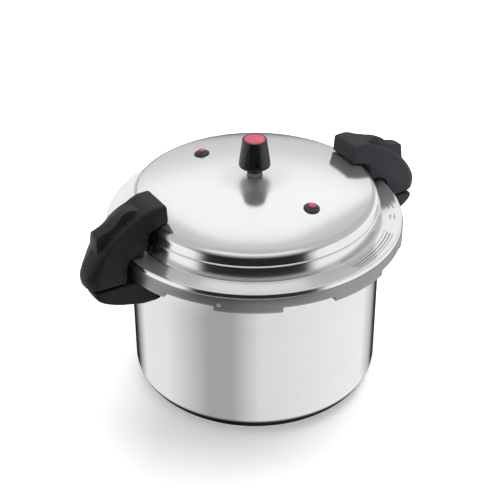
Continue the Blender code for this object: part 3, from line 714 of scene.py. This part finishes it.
def flange_place(radius, azimuth):
    """On the flange's top, X outwards and Y round it."""
    turn = Matrix.Rotation(math.radians(azimuth), 4, "Z")
    height = FLANGE_Z + FLANGE_SLOPE * (radius - FLANGE_SLOPE_FROM_R)
    return turn @ Matrix.Translation((radius, 0, height))


def add_mark(bm, corners, place):
    """A thin raised plate in the shape of the flat corners, in millimetres."""
    low = [bm.verts.new(place @ Vector((x, y, 0))) for x, y in corners]
    high = [bm.verts.new(place @ Vector((x, y, MARK_HEIGHT))) for x, y in corners]
    bm.faces.new(list(reversed(low)))
    bm.faces.new(high)
    for i in range(len(corners)):
        j = (i + 1) % len(corners)
        bm.faces.new((low[i], low[j], high[j], high[i]))


def add_oblong(bm, half_width, length, place):
    add_mark(bm, [(-half_width, 0), (half_width, 0), (half_width, length), (-half_width, length)], place)


def make_lid_marks():
    """Plain dashes and ticks in place of the flange's lettering."""
    bm = bmesh.new()
    for row, radius in enumerate(DASH_ROWS):
        azimuth = DASH_DEG[0] + DASH_ROW_DEG * row
        count = 0
        while azimuth < DASH_DEG[1] - DASH_ROW_DEG * row:
            length = 0.9 + 0.7 * math.sin(2.3 * count + row) ** 2
            add_oblong(bm, DASH_HALF_WIDTH, length, flange_place(radius, azimuth))
            azimuth += math.degrees((length + DASH_GAP) / radius)
            count += 1
    for start in TICK_DEG:
        for radius in TICK_R:
            for step in TICK_STEPS_DEG:
                add_oblong(bm, TICK_SIZE[0] / 2, TICK_SIZE[1], flange_place(radius, start + step))
    add_piece("lid_marks", bm, MARKING, "lid", [])


def make_lid_arrow():
    """An open arrow head on the skirt, over a lug."""
    bm = bmesh.new()
    facing = Matrix.Rotation(math.radians(ARROW_DEG), 4, "Z") @ Matrix.Rotation(math.radians(90), 4, "Y")
    place = facing @ Matrix.Translation((-ARROW_Z, 0, SKIRT_R - 0.05))
    tips = [Vector((-math.cos(math.radians(a)), math.sin(math.radians(a)))) for a in (0, 120, 240)]
    outer, inner = ARROW_R
    for first, second in ((0, 1), (1, 2), (2, 0)):
        corners = [tips[first] * outer, tips[second] * outer, tips[second] * inner, tips[first] * inner]
        add_mark(bm, corners, place)
    add_piece("lid_arrow", bm, PALE_ARROW, "lid", [])


def make_gasket():
    low, high = GASKET_Z
    inner, outer = GASKET_R
    corners = [(inner + 2.5, high, 0.8), (outer, high, 0.8), (outer, low, 0.8), (inner, low, 0.5)]
    corners += [(inner, low + 1.4, 0.4), (inner + 2.5, low + 2.4, 0.8)]
    bm = turned(rounded(corners), 216)
    add_piece("gasket_ring", bm, SILICONE, "seal", ["gasket"])


# ---------------------------------------------------------------- handles


def grip_height(x, y):
    """Height of the finger grip over the handle's top: a step in front, and a wave that ends in a step."""
    low, high = WING_X
    front, back = WING_Y
    along = min(1.0, (x - low) / (high - low))
    if along <= 0.0 or y <= front or y >= back:
        return 0.0
    across = (y - front) / (back - front)
    wave = WING_WAVE * math.sin(math.pi * along / 0.6) if along < 0.6 else 0.0
    outer = WING_RISE * along**2.4 * min(1.0, ((1 - across) / 0.3) ** 0.5)
    past_tip = ramp(x, high - 0.7, high + 1.6)
    return (outer + wave * (1 - 0.75 * across)) * ramp(y, front, front + 2.2) * (1 - past_tip)


def back_drop(x, y):
    return BACK_DROP * ramp(x, *BACK_DROP_X) * ramp(y, 0.0, HANDLE_HALF_W)


def drawn_back(y, rounding):
    """How far a handle's outer end draws back at y, in front of its middle (y < 0) and behind it."""
    amount, power = rounding[0] if y < 0 else rounding[1]
    return amount * (abs(y) / HANDLE_HALF_W) ** power


def lid_handle_top(y):
    """The handle's top from its inner end to its outermost point."""
    length = LID_HANDLE_X[1] - LID_HANDLE_ARC_X
    height = LID_HANDLE_TOP_Z - LID_HANDLE_WIDEST_Z
    steps = TOP_CURVE_STEPS
    falls = [math.sin(math.pi / 2 * i / steps) ** (2 / TOP_CURVE_POWER) for i in range(1, steps + 1)]
    tip = (WING_X[1] - LID_HANDLE_ARC_X) / length
    falls += [tip + step / length for step in (-0.9, -0.5, 0.0, 0.5, 1.0, 1.5, 2.0)]
    points = []
    for fall in [-0.06, 0.0] + sorted(falls):
        x = LID_HANDLE_ARC_X + length * fall
        drop = max(0.0, 1 - max(fall, 0.0) ** TOP_CURVE_POWER) ** (1 / TOP_CURVE_POWER)
        z = LID_HANDLE_WIDEST_Z + height * drop + grip_height(x, y) - back_drop(x, y)
        points.append((x - drawn_back(y, LID_END_ROUNDING) * max(fall, 0.0) ** 4, z))
    return points


def lid_handle_outline(y):
    """The section at y: round the inner end, along the top, round the outer end and back under the arch."""
    end = LID_HANDLE_X[1] - drawn_back(y, LID_END_ROUNDING)
    top = lid_handle_top(y)
    inner_x = LID_HANDLE_X[0]
    bottom = LID_HANDLE_BOTTOM_Z
    low_corner = (end - 1.2, bottom + 2.0)
    under = smooth_through([(end - 0.1, LID_HANDLE_WIDEST_Z - 3.0), low_corner, (end - 4.0, bottom)], 4)
    corners = [(end - 5.0, bottom, 0)]
    corners += [(math.sqrt(radius**2 - y**2), z, 3.0) for radius, z in ARCH]
    corners += [(inner_x, LID_HANDLE_FOOT_Z, 3.4), (inner_x, LID_HANDLE_TOP_Z, 5.5), (*top[0], 0)]
    round_back = rounded(corners, 4)[1:-1]
    shares = [1.0] * len(top + under)
    shares += [max(ARCH_EDGE_SHARE, ramp(z, *ARCH_EDGE_Z), ramp(x, *ARCH_EDGE_X)) for x, z in round_back]
    return drawn_in(top + under + round_back, edge_inset(y), shares)


def edge_inset(y):
    """How far the outline draws in at y, so that the long side edges are quarter rounds."""
    over = max(0.0, abs(y) - (HANDLE_HALF_W - HANDLE_EDGE)) / HANDLE_EDGE
    return HANDLE_EDGE * (1 - math.sqrt(max(0.0, 1 - over * over)))


def drawn_in(outline, distance, shares=None):
    """The clockwise outline with each point moved inwards by its share of the distance."""
    if distance <= 0:
        return outline
    shares = shares or [1.0] * len(outline)
    moved = []
    count = len(outline)
    for i, point in enumerate(outline):
        step = Vector(outline[(i + 1) % count]) - Vector(outline[i - 1])
        inward = Vector((step.y, -step.x)).normalized()
        moved.append(tuple(Vector(point) + inward * distance * shares[i]))
    return moved


def handle_stations(extra):
    half, edge = HANDLE_HALF_W, HANDLE_EDGE
    sides = [half - edge + edge * math.sin(math.pi / 2 * i / 6) for i in range(7)]
    return sorted(set([-y for y in sides] + sides + list(extra)))


def make_lid_handle(label, side):
    front, back = WING_Y
    extra = [-14.5, -12.0, -10.3] + [front + step for step in (0.0, 0.5, 1.1, 1.7, 2.2)]
    extra += [-5.0, -2.5, 0.0, 2.5, 5.0, 7.5, 10.0, 12.0]
    extra += [back - step for step in (3.4, 2.2, 1.3, 0.7, 0.3, 0.1)] + [back + 0.15]
    bm = mirrored(lofted(lid_handle_outline, handle_stations(extra)), side)
    name = "lid_handle_" + label
    add_piece(name + "_grip", bm, PHENOLIC, "lid", [name])


def pot_handle_outline(y):
    """The section at y: over the top from the wall, round the end, and back underneath."""
    end = POT_HANDLE_END_X - drawn_back(y, POT_END_ROUNDING)
    wall = math.sqrt((POT_R + 0.6) ** 2 - (y * (1 + ROOT_FLARE)) ** 2)
    low, top = POT_HANDLE_Z
    over = [(wall + 0.6, top), (139.0, top), (ROOT_FLARE_X, top)]
    over += [(ROOT_FLARE_X + (end - 4.5 - ROOT_FLARE_X) * i / 6, top) for i in range(1, 7)]
    nose = smooth_through([(end - 4.5, top), (end - 1.5, top - 1.3), (end, 161.6)], 4)[1:]
    under = [(end, 161.6), (end - 2.4, 157.0), (end - 8.0, 152.2), (end - 17.0, 147.4), (end - 27.0, 143.6)]
    under += [(ROOT_FLARE_X, low + 2.6), (139.0, low + 0.9), (wall + 0.6, low)]
    back = smooth_through(under, 5)[1:]
    return drawn_in(over + nose + back, edge_inset(y))


def make_pot_handle(label, side):
    bm = lofted(pot_handle_outline, handle_stations([-14.0, -11.0, -8.0, -4.0, 0.0, 4.0, 8.0, 11.0, 14.0]))
    # The flat end caps are split before the root flares, or they would fold
    bmesh.ops.triangulate(bm, faces=[face for face in bm.faces if len(face.verts) > 4])
    for vert in bm.verts:
        share = min(1.0, max(0.0, (ROOT_FLARE_X - vert.co.x) / (ROOT_FLARE_X - POT_R - 0.6)))
        if vert.co.z < ROOT_LIFT_BELOW_Z:
            vert.co.z += ROOT_LIFT * share**2 * (vert.co.y / HANDLE_HALF_W) ** 4
        vert.co.y *= 1 + ROOT_FLARE * share**2
    name = "pot_handle_" + label
    add_piece(name + "_grip", mirrored(bm, side), PHENOLIC, "pot", [name])


# ---------------------------------------------------------------- weight and valves


def make_weight():
    low, high = WEIGHT_Z
    wide, narrow = WEIGHT_R
    corners = [(CAP_R + 0.3, high - 1.4, 0), (CAP_R + 0.3, high, 0.3), (narrow, high, 0.9)]
    corners += [(wide, low + 3.0, 1.2), (wide, low, 0.8), (WEIGHT_BORE_R, low, 0.5)]
    corners += [(WEIGHT_BORE_R, WEIGHT_BORE_TOP_Z, 0), (0, WEIGHT_BORE_TOP_Z, 0), (0, high - 1.4, 0)]
    bm = turned(rounded(corners), 96)
    body = add_piece("weight_shell", bm, WEIGHT_BLACK, "weight", ["weight_body"])
    for number, degrees in enumerate(STEAM_HOLE_DEG, 1):
        turn = Matrix.Rotation(math.radians(degrees), 4, "Z") @ Matrix.Rotation(math.radians(90), 4, "Y")
        place = Matrix.Translation(Vector((0, 0, STEAM_HOLE_Z)) * MM) @ turn
        cut(body, add_cutter("steam_hole_%d" % number, rod(STEAM_HOLE_R, 7.4, 18, 24), place))
    cap = [(0, high + 0.9)] + [(r, high + 0.9 - 0.5 * (r / CAP_R) ** 3) for r in (3, 6, 8.5, 9.8)]
    cap += arc((CAP_R - 0.7, high - 0.4), 0.7, 80, 0, 5) + [(CAP_R, high - 1.3), (0, high - 1.3)]
    add_piece("weight_button", turned(cap, 72), RED, "weight", ["weight_cap"])


def valve_place(azimuth):
    """The valve's own frame: on the dome, Z along the dome's normal."""
    lean = math.asin(VALVE_R / DOME_R)
    turn = Matrix.Rotation(math.radians(azimuth), 4, "Z") @ Matrix.Rotation(lean, 4, "Y")
    return Matrix.Translation(around(VALVE_R, azimuth, dome_z(VALVE_R)) * MM) @ turn


def make_valve(number, azimuth):
    place = valve_place(azimuth)
    seat = [(2.4, 3.3, 0.2), (4.6, 3.25, 1.0), (6.8, 2.2, 1.0), (8.15, 0.9, 0.3), (8.15, 0.4, 0.1)]
    seat += [(4.9, 0.3, 0.2), (4.9, -2.6, 0.2), (7.0, -2.7, 0.3), (6.8, -5.8, 0.5), (2.4, -6.0, 0.3)]
    name, node = "valve_plug_%d" % number, "valve_seat_%d" % number
    add_piece(name, turned(rounded(seat), 72), RUBBER, "lid", [node], place)
    pin = [(0, 5.2)] + [(3.9 * math.sin(a), 3.7 + 1.5 * math.cos(a)) for a in (0.3, 0.6, 0.9, 1.2, 1.45)]
    pin += [(3.75, 3.6), (2.0, 3.55), (2.0, -11.8), (3.2, -11.9), (3.0, -12.8), (0, -12.8)]
    name, node = "valve_button_%d" % number, "valve_pin_%d" % number
    add_piece(name, turned(pin, 48), RED, "valve_%d" % number, [node], place)


# ---------------------------------------------------------------- rack


def make_jar_rack():
    low, high = RACK_TOP_Z - RACK_THICKNESS, RACK_TOP_Z
    outline = [(14.0, high - 0.4, 0), (14.4, high, 0.3)]
    outline += [(RACK_R - 5.0, high, 1.0), (RACK_R - 3.0, high - 0.5, 1.0)]
    outline += [(RACK_R, high - 0.5, 0.4), (RACK_R, low, 0.3), (14.0, low, 0)]
    bm = turned(rounded(outline), 192)
    rack = add_piece("rack_plate", bm, SATIN, "rack", ["jar_rack"])
    for i in range(RACK_HOLES):
        place = Matrix.Translation(around(RACK_HOLE_PLACE_R, (i + 0.5) * 360 / RACK_HOLES) * MM)
        cut(rack, add_cutter("rack_hole", rod(RACK_HOLE_R, low - 3, high + 3, 48), place))
    foot_z = POT_BASE + 0.3
    for i in range(RACK_LEGS):
        leg = prism([(96, low + 0.6), (98, low + 0.6), (98, foot_z), (96, foot_z)], -9, 9)
        place = Matrix.Rotation(math.radians(i * 360 / RACK_LEGS + 45), 4, "Z")
        cut(rack, add_cutter("rack_leg", leg, place), "UNION")


# ---------------------------------------------------------------- CAD nodes shown as they are


def finish_node(name, look):
    """Gives a CAD node its material and soft edges."""
    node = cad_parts[name]
    node.data.materials.clear()
    node.data.materials.append(look)
    bevel = node.modifiers.new("soft edges", "BEVEL")
    bevel.width = 0.25 * MM
    bevel.segments = 2
    bevel.limit_method = "ANGLE"
    bevel.angle_limit = math.radians(50)


def finish_small_nodes():
    for label in ("right", "left"):
        finish_node("pot_bracket_" + label, STEEL)
        finish_node("pot_handle_screw_" + label, STEEL)
        finish_node("lid_strap_" + label, BLACK_STEEL)
        finish_node("lid_handle_screw_" + label, STEEL)
        for number in (1, 2):
            finish_node("pot_rivet_%s_%d" % (label, number), SATIN)
            finish_node("lid_rivet_%s_%d" % (label, number), SATIN)
    for number in (1, 2):
        finish_node("valve_clip_%d" % number, STEEL)
    # The vent pipe takes the darkened steel, painted shade under the weight
    finish_node("vent_pipe", SHADED_PIPE_STEEL)
    finish_node("vent_nut", STEEL)
    finish_node("vent_seal_washer", SILICONE)
    finish_node("weight_core", STEEL)


# ---------------------------------------------------------------- stage, light and camera


def aimed(place, target):
    turn = (target - place).to_track_quat("-Z", "Y").to_matrix().to_4x4()
    return Matrix.Translation(place) @ turn


def add_camera():
    data = bpy.data.cameras.new("camera")
    data.lens = CAMERA_LENS
    data.sensor_width = 36.0
    roll = Matrix.Rotation(math.radians(CAMERA_ROLL_DEG), 4, "Z")
    bpy.context.scene.camera = add_object("camera", data, aimed(CAMERA_PLACE, CAMERA_TARGET) @ roll)


def add_stage_mesh(name, bm, look):
    obj = add_mesh(name, bm)
    obj.data.materials.append(look)
    return obj


def add_floor():
    made, tree, shader, place = start_material("floor", grey(0.86), 0.9, 0.0)
    clouds = noise(tree, place, 2.0, 2.0)
    colour = colour_ramp(tree, clouds, [(0.3, grey(0.85)), (0.7, grey(0.88))])
    tree.links.new(colour, shader.inputs["Base Color"])
    tree.links.new(colour, shader.inputs["Emission Color"])
    shader.inputs["Emission Strength"].default_value = FLOOR_GLOW
    bm = bmesh.new()
    bmesh.ops.create_grid(bm, x_segments=1, y_segments=1, size=4.0)
    floor = add_stage_mesh("floor", bm, made)
    floor.location.z = FLOOR_Z
    floor.visible_glossy = False


def card_angle():
    """The direction from the pot to the camera, about Z."""
    toward = CAMERA_PLACE - CAMERA_TARGET
    return math.atan2(toward.y, toward.x)


def add_painted_reflection_card():
    """What the pot's wall mirrors: a glowing card, seen only in reflections, painted as a pale table top with
    soft dark strips that run outwards from the pot. Each strip lies where one upright line of the wall
    mirrors the table, so the strips are a painted reflection."""
    bm = bmesh.new()
    column = bm.verts.layers.float.new("column")
    distance = bm.verts.layers.float.new("distance")
    rows = []
    for step in range(-CARD_HALF_DEG, CARD_HALF_DEG + 1):
        azimuth = card_angle() + math.radians(step)
        wall = Vector((math.cos(azimuth), math.sin(azimuth), 0)) * POT_R * MM
        toward = CAMERA_PLACE - wall
        view = math.atan2(toward.y, toward.x)
        heading = 2 * azimuth - view
        away = Vector((math.cos(heading), math.sin(heading), 0))
        row = []
        for reach in CARD_REACHES:
            tuck = CARD_TUCK * max(0.0, 1 - reach / CARD_TUCK_REACH)
            vert = bm.verts.new(wall * (1 - tuck) + away * reach)
            vert[column] = math.sin(azimuth - view)
            vert[distance] = reach
            row.append(vert)
        rows.append(row)
    for near, far in zip(rows, rows[1:]):
        for i in range(len(CARD_REACHES) - 1):
            bm.faces.new((near[i], near[i + 1], far[i + 1], far[i]))
    made = bpy.data.materials.new("table_card")
    made.use_nodes = True
    tree = made.node_tree
    tree.nodes.clear()
    across = add_node(tree, "ShaderNodeAttribute", attribute_name="column").outputs["Fac"]
    share = remap(tree, across, -1.0, 1.0, 0.0, 1.0)
    # Painted reflection: grey tones for the pot's wall close in, and for the lid's skirt further out
    near_tone = tone_ramp(tree, share, PAINTED_WALL_REFLECTION)
    far_tone = tone_ramp(tree, share, PAINTED_SKIRT_REFLECTION)
    away = add_node(tree, "ShaderNodeAttribute", attribute_name="distance").outputs["Fac"]
    beyond = remap(tree, away, *FAR_REACH, 0.0, 1.0, smooth=True)
    tone = blend(tree, beyond, near_tone, far_tone)
    # Painted shade: dark next to the pot, in place of the shadow where it meets the table
    painted_contact_shade = remap(tree, away, *PAINTED_CONTACT_SHADE_REACH, PAINTED_CONTACT_SHADE_TONE, 1.0)
    glow = add_node(tree, "ShaderNodeEmission", {"Color": tone, "Strength": painted_contact_shade})
    add_node(tree, "ShaderNodeOutputMaterial", {"Surface": glow.outputs[0]})
    card = add_stage_mesh("table_card", bm, made)
    card.location.z = CARD_Z
    card.visible_camera = False
    card.visible_diffuse = False
    card.visible_shadow = False
    card.visible_transmission = False


def make_world():
    """A studio seen by direction. Behind the object stands a tall soft box with a dark strip at its foot.
    The walls and the floor at both sides are bright, and the ceiling is grey. The side behind the camera is
    dark low down and bright high up."""
    world = bpy.data.worlds.new("studio")
    bpy.context.scene.world = world
    world.use_nodes = True
    tree = world.node_tree
    tree.nodes.clear()
    direction = add_node(tree, "ShaderNodeTexCoord").outputs["Generated"]
    inputs = {"Vector": direction, "Angle": -card_angle()}
    turned_to = add_node(tree, "ShaderNodeVectorRotate", inputs, rotation_type="Z_AXIS")
    x, y, z = separated(tree, turned_to.outputs["Vector"])
    azimuth = maths(tree, "ABSOLUTE", maths(tree, "ARCTAN2", y, x))
    elevation = maths(tree, "ARCSINE", z)

    def step(value, ends):
        return remap(tree, value, math.radians(ends[0]), math.radians(ends[1]), 0.0, 1.0, smooth=True)

    def with_region(tone, region):
        share = step(elevation, region["elevation"])
        for ends in region["azimuth"]:
            share = maths(tree, "MULTIPLY", share, step(azimuth, ends))
        return blend(tree, share, tone, region["tone"])

    behind_camera = by_elevation(tree, elevation, CAMERA_SIDE_TONES)
    tone = blend(tree, step(azimuth, CAMERA_SIDE_AZIMUTH), CEILING, behind_camera)
    tone = with_region(tone, SIDE_WALLS)
    from_back = maths(tree, "SUBTRACT", math.pi, azimuth)
    across = maths(tree, "DIVIDE", from_back, math.radians(SOFT_BOX_HALF_WIDTH))
    from_middle = maths(tree, "SUBTRACT", elevation, math.radians(SOFT_BOX_MIDDLE))
    upward = maths(tree, "DIVIDE", maths(tree, "MAXIMUM", from_middle, 0.0), math.radians(SOFT_BOX_RISE))
    powers = [maths(tree, "POWER", part, SOFT_BOX_CORNER_POWER) for part in (across, upward)]
    inside = remap(tree, maths(tree, "ADD", *powers), *SOFT_BOX_EDGE, 0.0, 1.0, smooth=True)
    soft_box = maths(tree, "MULTIPLY", inside, step(elevation, SOFT_BOX_BOTTOM))
    tone = blend(tree, soft_box, tone, by_elevation(tree, elevation, SOFT_BOX_TONES))
    for region in (PALE_FLOOR, LOW_BACK, BELOW_CAMERA):
        tone = with_region(tone, region)
    background = add_node(tree, "ShaderNodeBackground", {"Color": tone, "Strength": 1.0})
    add_node(tree, "ShaderNodeOutputWorld", {"Surface": background.outputs[0]})


def add_light(name, place, target, size, energy):
    data = bpy.data.lights.new(name, "AREA")
    data.shape = "SQUARE"
    data.size = size
    data.energy = energy
    light = add_object(name, data, aimed(Vector(place), Vector(target)))
    light.visible_camera = False
    light.visible_glossy = False
    return light


def make_lights():
    add_light("overhead", (0.64, 0.51, 1.9), (0, 0, 0), 2.2, 60.0)
    side = add_light("handle_fill", (-0.5, -1.1, 0.5), (0.15, 0, 0.2), 0.3, 26.0)
    lit = bpy.data.collections.new("filled_handles")
    for name in ("lid_handle_right_grip", "pot_handle_right_grip"):
        lit.objects.link(bpy.data.objects[name])
    side.light_linking.receiver_collection = lit


def main():
    make_pot_body()
    make_lid_shell()
    make_lid_marks()
    make_lid_arrow()
    make_gasket()
    for label, side in (("right", 1), ("left", -1)):
        make_pot_handle(label, side)
        make_lid_handle(label, side)
    make_weight()
    for number, azimuth in enumerate(VALVE_DEG, 1):
        make_valve(number, azimuth)
    make_jar_rack()
    finish_small_nodes()
    add_floor()
    add_painted_reflection_card()
    make_world()
    make_lights()
    add_camera()
    bpy.context.scene.view_settings.view_transform = "Standard"


main()
